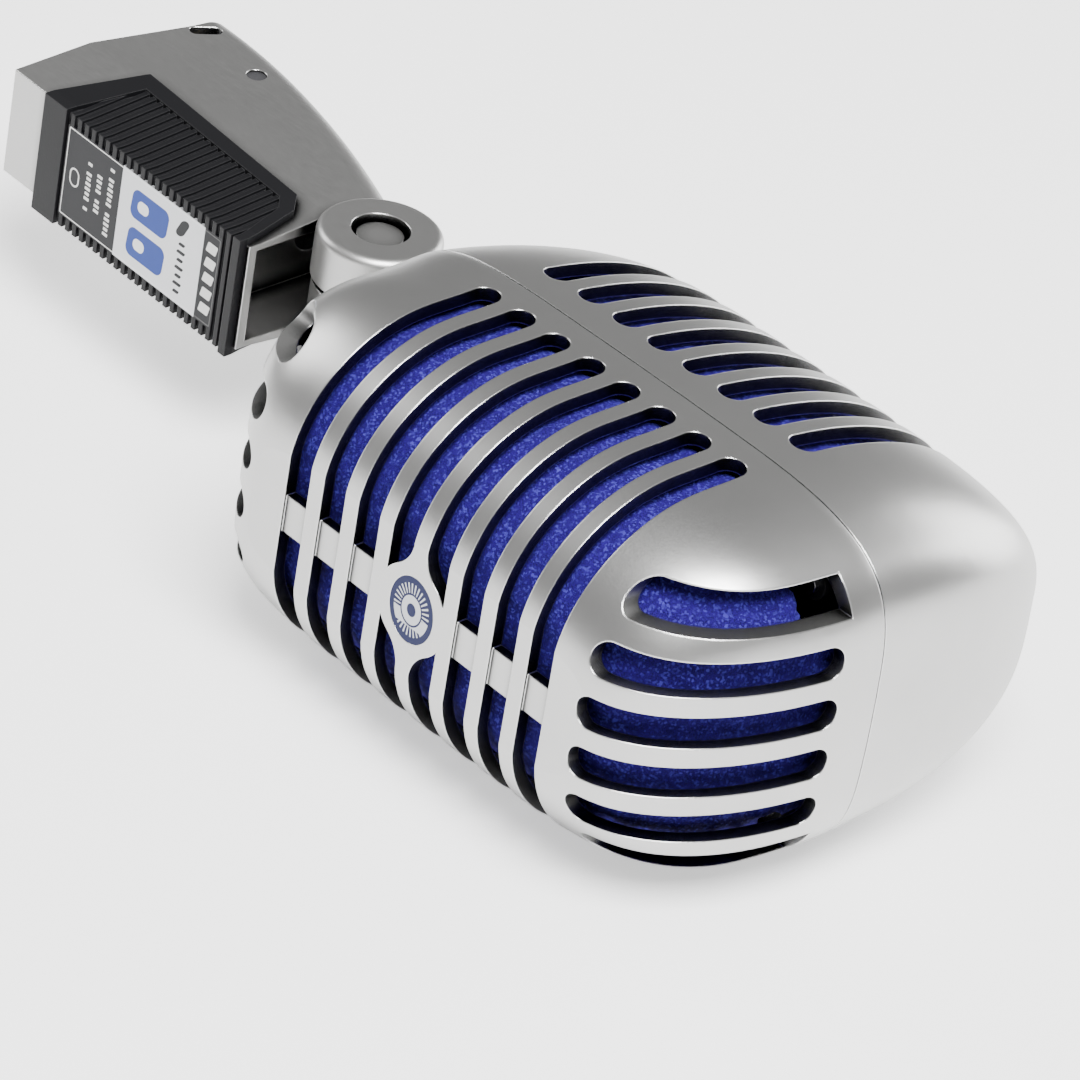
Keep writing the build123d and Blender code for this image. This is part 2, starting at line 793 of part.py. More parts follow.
# grooves between the ribs of both flaps, inside a flange left all round
rib_pitch = (rib_zone_end - rib_zone_start) / (rib_count + 0.5)
groove_skin = plate_skin - rib_drop - rib_depth
with BuildPart(mode=Mode.PRIVATE) as rib_zone:
    with BuildSketch(Plane.XY) as rib_zone_outline:
        with BuildLine():
            Polyline(
                (rib_zone_start, -far),
                (rib_zone_start, front_face_y),
                (rib_zone_start + 2.4, plate_rear_y - 3.2),
                (rib_zone_end - 4.4, plate_rear_y - 5.4),
                (rib_zone_end - 2.2, plate_rear_y - 7.4),
                (rib_zone_end, front_end_y),
                (rib_zone_end, -far),
                close=True,
            )
        make_face()
    extrude(amount=far / 2, both=True)
with BuildPart(mode=Mode.PRIVATE) as grooves:
    for index in range(rib_count + 1):
        with Locations((rib_zone_start + (index + 0.25) * rib_pitch, 0, 0)):
            Box(rib_gap, 2 * far, far)
    add(rib_zone.part, mode=Mode.INTERSECT)
    add(wrap(groove_skin, plate_front - rib_drop - rib_depth), mode=Mode.SUBTRACT)

# black plate wrapped round the front of the base, with ribbed flaps and a window
with BuildPart() as nameplate:
    with BuildSketch(Plane.XY) as flap_outline:
        with BuildLine():
            Polyline(
                (plate_start, -far),
                (plate_start, front_face_y),
                (plate_start + 5.0, plate_rear_y),
                (plate_end - 4.8, plate_rear_y - 3.0),
                (plate_end - 1.9, plate_rear_y - 6.0),
                (plate_end, front_end_y),
                (plate_end, -far),
                close=True,
            )
        make_face()
    extrude(amount=far / 2, both=True)
    add(wrap(plate_skin, plate_front), mode=Mode.INTERSECT)
    add(rib_zone.part - wrap(plate_skin - rib_drop, plate_front - rib_drop), mode=Mode.SUBTRACT)
    add(grooves.part, mode=Mode.SUBTRACT)
    add(wrap(0, 0), mode=Mode.SUBTRACT)
    # window for the label
    with BuildSketch(front_plane):
        with Locations(((label_start + label_end) / 2, 0)):
            Rectangle(label_end - label_start, 2 * label_half_width)
    extrude(amount=far / 2, mode=Mode.SUBTRACT)
nameplate.part.label = "nameplate"
export_step(nameplate.part, "parts/nameplate.step")

with BuildPart() as label_plate:
    with BuildSketch(front_plane):
        with Locations(((label_start + label_end) / 2, 0)):
            Rectangle(label_end - label_start, 2 * label_half_width)
    extrude(amount=plate_front - label_recess)
label_plate.part.label = "label_plate"
export_step(label_plate.part, "parts/label_plate.step")

# connector insert and contacts
with BuildPart() as connector_insert:
    with BuildSketch(socket_end):
        Circle(socket_radius - mouth_step)
    extrude(amount=-insert_thickness)
    with BuildSketch(socket_end):
        with Locations(*contact_places):
            Circle(contact_radius)
    extrude(amount=-insert_thickness, mode=Mode.SUBTRACT)
connector_insert.part.label = "connector_insert"
export_step(connector_insert.part, "parts/connector_insert.step")

with BuildPart() as contact_pins:
    with BuildSketch(socket_end):
        with Locations(*contact_places):
            Circle(contact_radius)
    extrude(amount=-insert_thickness - contact_length)
contact_pins.part.label = "contact_pins"
export_step(contact_pins.part, "parts/contact_pins.step")

with BuildPart() as set_screws:
    with BuildSketch(Plane.XY.offset(socket_radius + 0.05)):
        with Locations((set_screw_x, set_screw_y)):
            Circle(set_screw_radius)
    extrude(amount=0.5)
set_screws.part.label = "set_screw"
export_step(set_screws.part, "parts/set_screw.step")
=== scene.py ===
# Stage microphone lying on the side of its head, built around its CAD frame.
import math

import bpy
from mathutils import Matrix, Vector, noise


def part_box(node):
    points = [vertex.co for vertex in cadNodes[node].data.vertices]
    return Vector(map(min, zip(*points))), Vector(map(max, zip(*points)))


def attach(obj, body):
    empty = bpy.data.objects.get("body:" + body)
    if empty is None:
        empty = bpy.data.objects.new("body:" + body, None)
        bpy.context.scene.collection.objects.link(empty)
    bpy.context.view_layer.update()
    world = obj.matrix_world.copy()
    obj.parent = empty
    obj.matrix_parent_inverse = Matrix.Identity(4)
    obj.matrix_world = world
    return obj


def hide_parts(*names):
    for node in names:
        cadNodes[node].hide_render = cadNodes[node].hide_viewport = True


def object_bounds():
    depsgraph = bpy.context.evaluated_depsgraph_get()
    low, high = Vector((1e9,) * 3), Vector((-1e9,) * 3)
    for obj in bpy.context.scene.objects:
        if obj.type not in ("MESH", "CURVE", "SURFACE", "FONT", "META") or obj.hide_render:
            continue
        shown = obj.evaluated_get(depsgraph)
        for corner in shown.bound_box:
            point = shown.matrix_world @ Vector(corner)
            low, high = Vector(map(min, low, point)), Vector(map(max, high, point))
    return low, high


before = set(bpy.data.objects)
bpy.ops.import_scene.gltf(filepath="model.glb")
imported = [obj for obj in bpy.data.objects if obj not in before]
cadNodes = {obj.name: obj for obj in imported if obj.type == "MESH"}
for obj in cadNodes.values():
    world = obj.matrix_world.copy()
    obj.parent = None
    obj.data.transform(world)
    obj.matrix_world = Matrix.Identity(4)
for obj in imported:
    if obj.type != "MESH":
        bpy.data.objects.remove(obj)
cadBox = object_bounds()
millimetre = 0.001
print("frame loaded:", len(cadNodes), "nodes")

# the camera comes first: a long lens, low over the crown, turned a little
camera = {
    "azimuth": 42.287,  # degrees round Z, where 0 looks along +Y
    "elevation": 32.697,
    "roll": 9.834,
    "distance": 1.07318,
    "target": (0.128504, -0.015350, 0.0),
    "lens": 251.389,
}


def direction(azimuth, elevation):
    return Vector(
        (
            math.sin(azimuth) * math.cos(elevation),
            -math.cos(azimuth) * math.cos(elevation),
            math.sin(elevation),
        )
    )


def makeCamera():
    azimuth = math.radians(camera["azimuth"])
    roll = math.radians(camera["roll"])
    back = direction(azimuth, math.radians(camera["elevation"]))
    right = Vector((math.cos(azimuth), math.sin(azimuth), 0.0))
    up = back.cross(right)
    turnedRight = right * math.cos(roll) + up * math.sin(roll)
    turnedUp = up * math.cos(roll) - right * math.sin(roll)
    lens = bpy.data.cameras.new("camera")
    lens.lens = camera["lens"]
    lens.clip_start = 0.05
    lens.clip_end = 20.0
    eye = bpy.data.objects.new("camera", lens)
    turn = Matrix((turnedRight, turnedUp, back)).transposed().to_4x4()
    place = Vector(camera["target"]) + back * camera["distance"]
    eye.matrix_world = Matrix.Translation(place) @ turn
    bpy.context.scene.collection.objects.link(eye)
    bpy.context.scene.camera = eye


makeCamera()
print("camera set")


# a shader node with its values, and links by socket name
def addNode(tree, kind, place, **values):
    node = tree.nodes.new(kind)
    node.location = place
    for name, value in values.items():
        if hasattr(node, name):
            setattr(node, name, value)
        else:
            node.inputs[name.replace("_", " ")].default_value = value
    return node


def join(tree, source, output, target, slot):
    tree.links.new(source.outputs[output], target.inputs[slot])


def makeSums(tree):
    # a function that adds math nodes to this tree; its inputs are numbers or (node, output)
    def sums(operation, place, *values):
        node = addNode(tree, "ShaderNodeMath", place, operation=operation)
        for slot, value in enumerate(values):
            if isinstance(value, tuple):
                tree.links.new(value[0].outputs[value[1]], node.inputs[slot])
            else:
                node.inputs[slot].default_value = value
        return (node, 0)

    return sums


def newGroup(name, inputs, outputs):
    group = bpy.data.node_groups.new(name, "ShaderNodeTree")
    for label, kind, value in inputs:
        socket = group.interface.new_socket(label, in_out="INPUT", socket_type=kind)
        socket.default_value = value
    for label, kind in outputs:
        group.interface.new_socket(label, in_out="OUTPUT", socket_type=kind)
    start = group.nodes.new("NodeGroupInput")
    start.location = (-900, 0)
    end = group.nodes.new("NodeGroupOutput")
    end.location = (700, 0)
    return group, start, end


def useGroup(tree, group, place, **values):
    node = tree.nodes.new("ShaderNodeGroup")
    node.node_tree = group
    node.location = place
    for name, value in values.items():
        node.inputs[name.replace("_", " ")].default_value = value
    return node


def newMaterial(name, color, metallic, roughness):
    material = bpy.data.materials.new(name)
    material.use_nodes = True
    tree = material.node_tree
    shader = tree.nodes["Principled BSDF"]
    shader.inputs["Base Color"].default_value = (*color, 1.0)
    shader.inputs["Metallic"].default_value = metallic
    shader.inputs["Roughness"].default_value = roughness
    return material, tree, shader


def makeSoftEdge():
    # rounds every sharp edge a little, and gives a mask of the edges
    group, start, end = newGroup(
        "softEdge",
        [("Radius", "NodeSocketFloat", 0.0003)],
        [("Mask", "NodeSocketFloat"), ("Normal", "NodeSocketVector")],
    )
    bevel = addNode(group, "ShaderNodeBevel", (-600, 100), samples=6)
    join(group, start, "Radius", bevel, "Radius")
    surface = addNode(group, "ShaderNodeNewGeometry", (-600, -150))
    dot = addNode(group, "ShaderNodeVectorMath", (-350, 0), operation="DOT_PRODUCT")
    join(group, bevel, "Normal", dot, 0)
    join(group, surface, "Normal", dot, 1)
    spread = addNode(group, "ShaderNodeMapRange", (-100, 0))
    spread.inputs["From Min"].default_value = 0.995
    spread.inputs["From Max"].default_value = 0.80
    join(group, dot, "Value", spread, "Value")
    join(group, spread, "Result", end, "Mask")
    join(group, bevel, "Normal", end, "Normal")
    return group


def makeSlotShade():
    # a mask of what lies inside a narrow slot or groove, where shade falls: painted shade
    group, start, end = newGroup(
        "slotShade", [("Depth", "NodeSocketFloat", 0.005)], [("Mask", "NodeSocketFloat")]
    )
    slotShadeMask = addNode(group, "ShaderNodeAmbientOcclusion", (-500, 0), samples=6, only_local=False)
    join(group, start, "Depth", slotShadeMask, "Distance")
    spread = addNode(group, "ShaderNodeMapRange", (-200, 0))
    spread.inputs["From Min"].default_value = 0.93
    spread.inputs["From Max"].default_value = 0.66
    join(group, slotShadeMask, "AO", spread, "Value")
    join(group, spread, "Result", end, "Mask")
    return group


def makeGrain():
    # fine grain with long streaks, as a height and as a mask
    group, start, end = newGroup(
        "grain",
        [
            ("Scale", "NodeSocketFloat", 4000.0),
            ("Stretch", "NodeSocketVector", (1.0, 1.0, 1.0)),
            ("Patch Scale", "NodeSocketFloat", 60.0),
        ],
        [("Height", "NodeSocketFloat"), ("Patch", "NodeSocketFloat")],
    )
    place = addNode(group, "ShaderNodeTexCoord", (-900, 300))
    stretched = addNode(group, "ShaderNodeVectorMath", (-650, 200), operation="MULTIPLY")
    join(group, place, "Object", stretched, 0)
    join(group, start, "Stretch", stretched, 1)
    fine = addNode(group, "ShaderNodeTexNoise", (-350, 200), Detail=2.0, Roughness=0.6)
    join(group, stretched, "Vector", fine, "Vector")
    join(group, start, "Scale", fine, "Scale")
    broad = addNode(group, "ShaderNodeTexNoise", (-350, -150), Detail=3.0, Roughness=0.55)
    join(group, place, "Object", broad, "Vector")
    join(group, start, "Patch Scale", broad, "Scale")
    join(group, fine, "Fac", end, "Height")
    join(group, broad, "Fac", end, "Patch")
    return group


softEdge = makeSoftEdge()
slotShade = makeSlotShade()
grain = makeGrain()

metalLook = {
    "headColor": (0.58, 0.578, 0.57),
    "headRoughness": 0.33,
    "baseColor": (0.52, 0.518, 0.51),
    "baseRoughness": 0.38,
    # lighter edge colour: a painted highlight on the rims
    "edgeHighlightColor": (0.86, 0.86, 0.85),
    "edgeRadius": 0.00035,
    # painted shade for the walls of slots and holes
    "slotShadeColor": (0.006, 0.006, 0.007),
    "grainScale": 3600.0,
    "grainStrength": 0.10,
}


def makeMetal(name, color, roughness, stretch, edgeHighlightColor, edgeRadius, strength, slotShadeDepth=0.0):
    material, tree, shader = newMaterial(name, color, 1.0, roughness)
    texture = useGroup(tree, grain, (-900, -100), Scale=metalLook["grainScale"], Patch_Scale=55.0)
    texture.inputs["Stretch"].default_value = stretch
    edge = useGroup(tree, softEdge, (-900, 200), Radius=edgeRadius)
    # colour: a little lighter and darker in patches, lighter on the edges as a painted highlight
    # on the rims
    shade = addNode(tree, "ShaderNodeMapRange", (-650, 0))
    shade.inputs["To Min"].default_value = 0.90
    shade.inputs["To Max"].default_value = 1.06
    join(tree, texture, "Patch", shade, "Value")
    tinted = addNode(tree, "ShaderNodeVectorMath", (-450, 0), operation="SCALE")
    tinted.inputs[0].default_value = color
    join(tree, shade, "Result", tinted, "Scale")
    edgeHighlight = addNode(tree, "ShaderNodeMix", (-250, 100), data_type="RGBA")
    edgeHighlight.inputs[7].default_value = (*edgeHighlightColor, 1.0)
    join(tree, edge, "Mask", edgeHighlight, "Factor")
    if slotShadeDepth:  # the walls of slots and holes get painted shade, nearly black
        slotShadeMask = useGroup(tree, slotShade, (-650, 350), Depth=slotShadeDepth)
        slotShaded = addNode(tree, "ShaderNodeMix", (-350, 300), data_type="RGBA")
        slotShaded.inputs[7].default_value = (*metalLook["slotShadeColor"], 1.0)
        join(tree, slotShadeMask, "Mask", slotShaded, "Factor")
        tree.links.new(tinted.outputs["Vector"], slotShaded.inputs[6])
        tree.links.new(slotShaded.outputs[2], edgeHighlight.inputs[6])
    else:
        tree.links.new(tinted.outputs["Vector"], edgeHighlight.inputs[6])
    tree.links.new(edgeHighlight.outputs[2], shader.inputs["Base Color"])
    # roughness: patches and grain, smoother where the edges are polished
    rough = addNode(tree, "ShaderNodeMapRange", (-450, -250))
    rough.inputs["To Min"].default_value = roughness - 0.06
    rough.inputs["To Max"].default_value = roughness + 0.07
    join(tree, texture, "Height", rough, "Value")
    polished = addNode(tree, "ShaderNodeMix", (-250, -250))
    polished.inputs[3].default_value = max(0.16, roughness - 0.12)
    tree.links.new(edge.outputs["Mask"], polished.inputs[0])
    tree.links.new(rough.outputs["Result"], polished.inputs[2])
    tree.links.new(polished.outputs[0], shader.inputs["Roughness"])
    bump = addNode(tree, "ShaderNodeBump", (-250, -500), Strength=strength, Distance=0.00005)
    join(tree, texture, "Height", bump, "Height")
    join(tree, edge, "Normal", bump, "Normal")
    join(tree, bump, "Normal", shader, "Normal")
    return material


headMetal = makeMetal(
    "headCasting",
    metalLook["headColor"],
    metalLook["headRoughness"],
    (1.0, 1.0, 1.0),
    metalLook["edgeHighlightColor"],
    metalLook["edgeRadius"],
    metalLook["grainStrength"],
    slotShadeDepth=0.006,
)
baseMetal = makeMetal(
    "baseCasting",
    metalLook["baseColor"],
    metalLook["baseRoughness"],
    (0.12, 1.0, 1.0),
    metalLook["edgeHighlightColor"],
    metalLook["edgeRadius"],
    metalLook["grainStrength"],
    slotShadeDepth=0.003,
)
screwSteel = makeMetal(
    "screwSteel", (0.50, 0.50, 0.50), 0.30, (1.0, 1.0, 1.0), (0.8, 0.8, 0.8), 0.0002, 0.05
)
shellMetal = makeMetal(
    "cartridgeShell", (0.42, 0.42, 0.43), 0.35, (1.0, 1.0, 1.0), (0.7, 0.7, 0.7), 0.0002, 0.05
)
contactBrass = makeMetal(
    "contactBrass", (0.78, 0.60, 0.28), 0.22, (1.0, 1.0, 1.0), (0.95, 0.82, 0.5), 0.0002, 0.03
)
copperWire = makeMetal(
    "copperWire", (0.72, 0.33, 0.16), 0.35, (1.0, 8.0, 1.0), (0.85, 0.5, 0.3), 0.0001, 0.2
)
magnetIron = makeMetal(
    "magnetIron", (0.16, 0.16, 0.17), 0.55, (1.0, 1.0, 1.0), (0.3, 0.3, 0.3), 0.0002, 0.2
)
print("metals made")


def makePlastic(name, color, edgeHighlightColor, roughness, scale, strength, edgeRadius):
    material, tree, shader = newMaterial(name, color, 0.0, roughness)
    shader.inputs["Specular IOR Level"].default_value = 0.22
    texture = useGroup(tree, grain, (-900, -100), Scale=scale, Patch_Scale=80.0)
    edge = useGroup(tree, softEdge, (-900, 200), Radius=edgeRadius)
    # lighter on the edges: a painted highlight
    edgeHighlight = addNode(tree, "ShaderNodeMix", (-250, 100), data_type="RGBA")
    edgeHighlight.inputs[6].default_value = (*color, 1.0)
    edgeHighlight.inputs[7].default_value = (*edgeHighlightColor, 1.0)
    tree.links.new(edge.outputs["Mask"], edgeHighlight.inputs["Factor"])
    tree.links.new(edgeHighlight.outputs[2], shader.inputs["Base Color"])
    rough = addNode(tree, "ShaderNodeMapRange", (-450, -250))
    rough.inputs["To Min"].default_value = roughness - 0.08
    rough.inputs["To Max"].default_value = roughness + 0.10
    join(tree, texture, "Patch", rough, "Value")
    join(tree, rough, "Result", shader, "Roughness")
    bump = addNode(tree, "ShaderNodeBump", (-250, -500), Strength=strength, Distance=0.00008)
    join(tree, texture, "Height", bump, "Height")
    join(tree, edge, "Normal", bump, "Normal")
    join(tree, bump, "Normal", shader, "Normal")
    return material


blackPlastic = makePlastic(
    "blackPlastic", (0.006, 0.006, 0.007), (0.03, 0.03, 0.032), 0.36, 2500.0, 0.12, 0.0002
)
darkFrame = makePlastic(
    "darkFrame", (0.004, 0.004, 0.005), (0.015, 0.015, 0.016), 0.5, 2000.0, 0.15, 0.0002
)
shockRubber = makePlastic(
    "shockRubber", (0.02, 0.02, 0.02), (0.05, 0.05, 0.05), 0.7, 1800.0, 0.3, 0.0003
)
nylon = makePlastic("nylon", (0.62, 0.62, 0.60), (0.75, 0.75, 0.73), 0.4, 1500.0, 0.1, 0.0002)
diaphragmFilm = makePlastic(
    "diaphragmFilm", (0.60, 0.52, 0.30), (0.75, 0.68, 0.45), 0.2, 900.0, 0.1, 0.0001
)

foamLook = {
    # painted shade in the foam's pits
    "pitShadeColor": (0.007, 0.0015, 0.055),
    "middle": (0.018, 0.003, 0.17),
    # painted glints on the foam
    "glintColor": (0.08, 0.07, 0.52),
    "cellScale": 3000.0,  # cells to the metre
}


def makeFoamMaterial():
    material, tree, shader = newMaterial("blueFoam", foamLook["middle"], 0.0, 0.75)
    shader.inputs["Specular IOR Level"].default_value = 0.12
    shader.inputs["Sheen Weight"].default_value = 0.06
    shader.inputs["Sheen Roughness"].default_value = 0.4
    shader.inputs["Sheen Tint"].default_value = (0.25, 0.30, 1.0, 1.0)
    place = addNode(tree, "ShaderNodeTexCoord", (-1300, 0))
    cells = addNode(
        tree, "ShaderNodeTexVoronoi", (-1050, 200), Scale=foamLook["cellScale"], Randomness=1.0
    )
    join(tree, place, "Object", cells, "Vector")
    dust = addNode(
        tree, "ShaderNodeTexNoise", (-1050, -150), Scale=foamLook["cellScale"] * 1.8, Detail=3.0
    )
    join(tree, place, "Object", dust, "Vector")
    cloud = addNode(tree, "ShaderNodeTexNoise", (-1050, -450), Scale=140.0, Detail=2.0)
    join(tree, place, "Object", cloud, "Vector")
    # darker where the bump sinks: painted shade in the foam's pits
    shade = addNode(tree, "ShaderNodeMapRange", (-750, -150))
    shade.inputs["From Min"].default_value = 0.35
    shade.inputs["From Max"].default_value = 0.62
    join(tree, dust, "Fac", shade, "Value")
    pitShade = addNode(tree, "ShaderNodeMix", (-500, 0), data_type="RGBA")
    pitShade.inputs[6].default_value = (*foamLook["pitShadeColor"], 1.0)
    pitShade.inputs[7].default_value = (*foamLook["middle"], 1.0)
    join(tree, shade, "Result", pitShade, "Factor")
    # light specks in scattered cells, stronger in broad clouds: painted glints on the foam
    glintSpecks = addNode(tree, "ShaderNodeMapRange", (-750, 250))
    glintSpecks.inputs["From Min"].default_value = 0.66
    glintSpecks.inputs["From Max"].default_value = 0.95
    apart = addNode(tree, "ShaderNodeSeparateColor", (-850, 400))
    join(tree, cells, "Color", apart, "Color")
    join(tree, apart, "Red", glintSpecks, "Value")
    broad = addNode(tree, "ShaderNodeMath", (-600, 300), operation="MULTIPLY")
    join(tree, glintSpecks, "Result", broad, 0)
    join(tree, cloud, "Fac", broad, 1)
    lit = addNode(tree, "ShaderNodeMix", (-250, 100), data_type="RGBA")
    lit.inputs[7].default_value = (*foamLook["glintColor"], 1.0)
    tree.links.new(pitShade.outputs[2], lit.inputs[6])
    join(tree, broad, "Value", lit, "Factor")
    tree.links.new(lit.outputs[2], shader.inputs["Base Color"])
    bump = addNode(tree, "ShaderNodeBump", (-250, -300), Strength=0.8, Distance=0.0003)
    join(tree, dust, "Fac", bump, "Height")
    join(tree, bump, "Normal", shader, "Normal")
    return material


blueFoam = makeFoamMaterial()
print("plastics and foam made")


def makeBarMask():
    # a rounded bar on the XZ plane, in metres, leaning over by slant
    group, start, end = newGroup(
        "barMask",
        [
            ("Centre X", "NodeSocketFloat", 0.0),
            ("Centre Z", "NodeSocketFloat", 0.0),
            ("Half X", "NodeSocketFloat", 0.001),
            ("Half Z", "NodeSocketFloat", 0.001),
            ("Corner", "NodeSocketFloat", 0.0002),
            ("Slant", "NodeSocketFloat", 0.0),
        ],
        [("Mask", "NodeSocketFloat")],
    )
    place = addNode(group, "ShaderNodeTexCoord", (-1700, 0))
    apart = addNode(group, "ShaderNodeSeparateXYZ", (-1500, 0))
    join(group, place, "Object", apart, "Vector")
    sums = makeSums(group)
    acrossZ = sums("SUBTRACT", (-1300, -150), (apart, "Z"), (start, "Centre Z"))
    lean = sums("MULTIPLY", (-1150, -250), acrossZ, (start, "Slant"))
    alongX = sums("SUBTRACT", (-1300, 100), (apart, "X"), (start, "Centre X"))
    alongX = sums("SUBTRACT", (-1100, 100), alongX, lean)
    sides = []
    for value, half, height in ((alongX, "Half X", 100), (acrossZ, "Half Z", -150)):
        size = sums("ABSOLUTE", (-900, height), value)
        inner = sums("SUBTRACT", (-900, height - 80), (start, half), (start, "Corner"))
        over = sums("SUBTRACT", (-700, height), size, inner)
        sides.append(sums("MAXIMUM", (-550, height), over, 0.0))
    squareX = sums("MULTIPLY", (-400, 100), sides[0], sides[0])
    total = sums("MULTIPLY_ADD", (-250, 0), sides[1], sides[1], squareX)
    reach = sums("SQRT", (-100, 0), total)
    gap = sums("SUBTRACT", (50, 0), reach, (start, "Corner"))
    soft = sums("MULTIPLY_ADD", (200, 0), gap, -20000.0, 0.5)
    soft[0].use_clamp = True
    group.links.new(soft[0].outputs[0], end.inputs["Mask"])
    return group


barMask = makeBarMask()

labelPrint = {
    # plain bars and dots where the maker's words and figures would be, in millimetres
    "paper": (0.80, 0.81, 0.83),
    "ink": (0.007, 0.007, 0.009),
    "blue": (0.018, 0.050, 0.27),
    "line": (0.72, 0.72, 0.70),
    # colour, centre X, centre Z, half X, half Z, corner, slant
    "marks": [
        ("line", 33.9, 0.0, 18.45, 7.55, 0.3, 0.0),
        ("ink", 33.9, 0.0, 18.25, 7.35, 0.2, 0.0),
        ("paper", 38.65, 0.0, 9.95, 7.8, 0.02, 0.0),
        ("ink", 50.6, 0.0, 2.0, 7.8, 0.02, 0.0),
        ("line", 17.9, -0.2, 1.15, 1.6, 1.15, 0.0),
        ("ink", 17.9, -0.2, 0.85, 1.3, 0.85, 0.0),
        ("blue", 35.9, 3.2, 4.4, 2.5, 1.4, 0.08),
        ("paper", 34.3, 3.2, 1.3, 1.0, 0.9, 0.08),
        ("blue", 35.9, -3.3, 4.4, 2.5, 1.4, 0.08),
        ("paper", 34.3, -3.3, 1.3, 1.0, 0.9, 0.08),
        ("ink", 43.6, 4.9, 0.95, 1.6, 0.9, 0.5),
    ],
}
for line, (x, halfZ) in enumerate(((21.2, 4.6), (23.7, 3.6), (26.4, 6.1))):
    letters = int(halfZ / 0.42)
    for letter in range(letters):
        z = (letter - (letters - 1) / 2) * 0.86
        tall = 0.62 if (letter + line) % 3 else 0.5
        if (letter * 3 + line) % 7 != 3:
            labelPrint["marks"].append(("line", x, z, tall, 0.27, 0.12, 0.1))
for letter in range(7):
    z = 2.2 - letter * 1.35
    labelPrint["marks"].append(("ink", 43.9, z, 0.7 + 0.25 * (letter % 2), 0.30, 0.25, 0.6))
for letter in range(5):
    z = (letter - 2) * 2.6
    labelPrint["marks"].append(("line", 50.6, z, 1.15, 0.85, 0.25, 0.25))


def makeLabelMaterial():
    material, tree, shader = newMaterial("labelPrint", labelPrint["paper"], 0.0, 0.30)
    shader.inputs["Specular IOR Level"].default_value = 0.25
    texture = useGroup(tree, grain, (-1200, -500), Scale=2600.0, Patch_Scale=90.0)
    before = None
    for number, (color, x, z, halfX, halfZ, corner, slant) in enumerate(labelPrint["marks"]):
        mask = useGroup(
            tree,
            barMask,
            (number * 220 - 1200, 300),
            Centre_X=x * millimetre,
            Centre_Z=z * millimetre,
            Half_X=halfX * millimetre,
            Half_Z=halfZ * millimetre,
            Corner=corner * millimetre,
            Slant=slant,
        )
        layer = addNode(tree, "ShaderNodeMix", (number * 220 - 1000, 0), data_type="RGBA")
        layer.inputs[7].default_value = (*labelPrint[color], 1.0)
        if before is None:
            layer.inputs[6].default_value = (*labelPrint["ink"], 1.0)
        else:
            tree.links.new(before.outputs[2], layer.inputs[6])
        join(tree, mask, "Mask", layer, "Factor")
        before = layer
    end = len(labelPrint["marks"]) * 220 - 900
    tree.links.new(before.outputs[2], shader.inputs["Base Color"])
    rough = addNode(tree, "ShaderNodeMapRange", (end, -400))
    rough.inputs["To Min"].default_value = 0.24
    rough.inputs["To Max"].default_value = 0.40
    join(tree, texture, "Patch", rough, "Value")
    join(tree, rough, "Result", shader, "Roughness")
    bump = addNode(tree, "ShaderNodeBump", (end, -600), Strength=0.05, Distance=0.00005)
    join(tree, texture, "Height", bump, "Height")
    join(tree, bump, "Normal", shader, "Normal")
    shader.location = (end + 300, 0)
    tree.nodes["Material Output"].location = (end + 650, 0)
    return material


badgePrint = {
    "navy": (0.004, 0.008, 0.060),
    "pale": (0.60, 0.62, 0.66),
    "rays": 30.0,
}


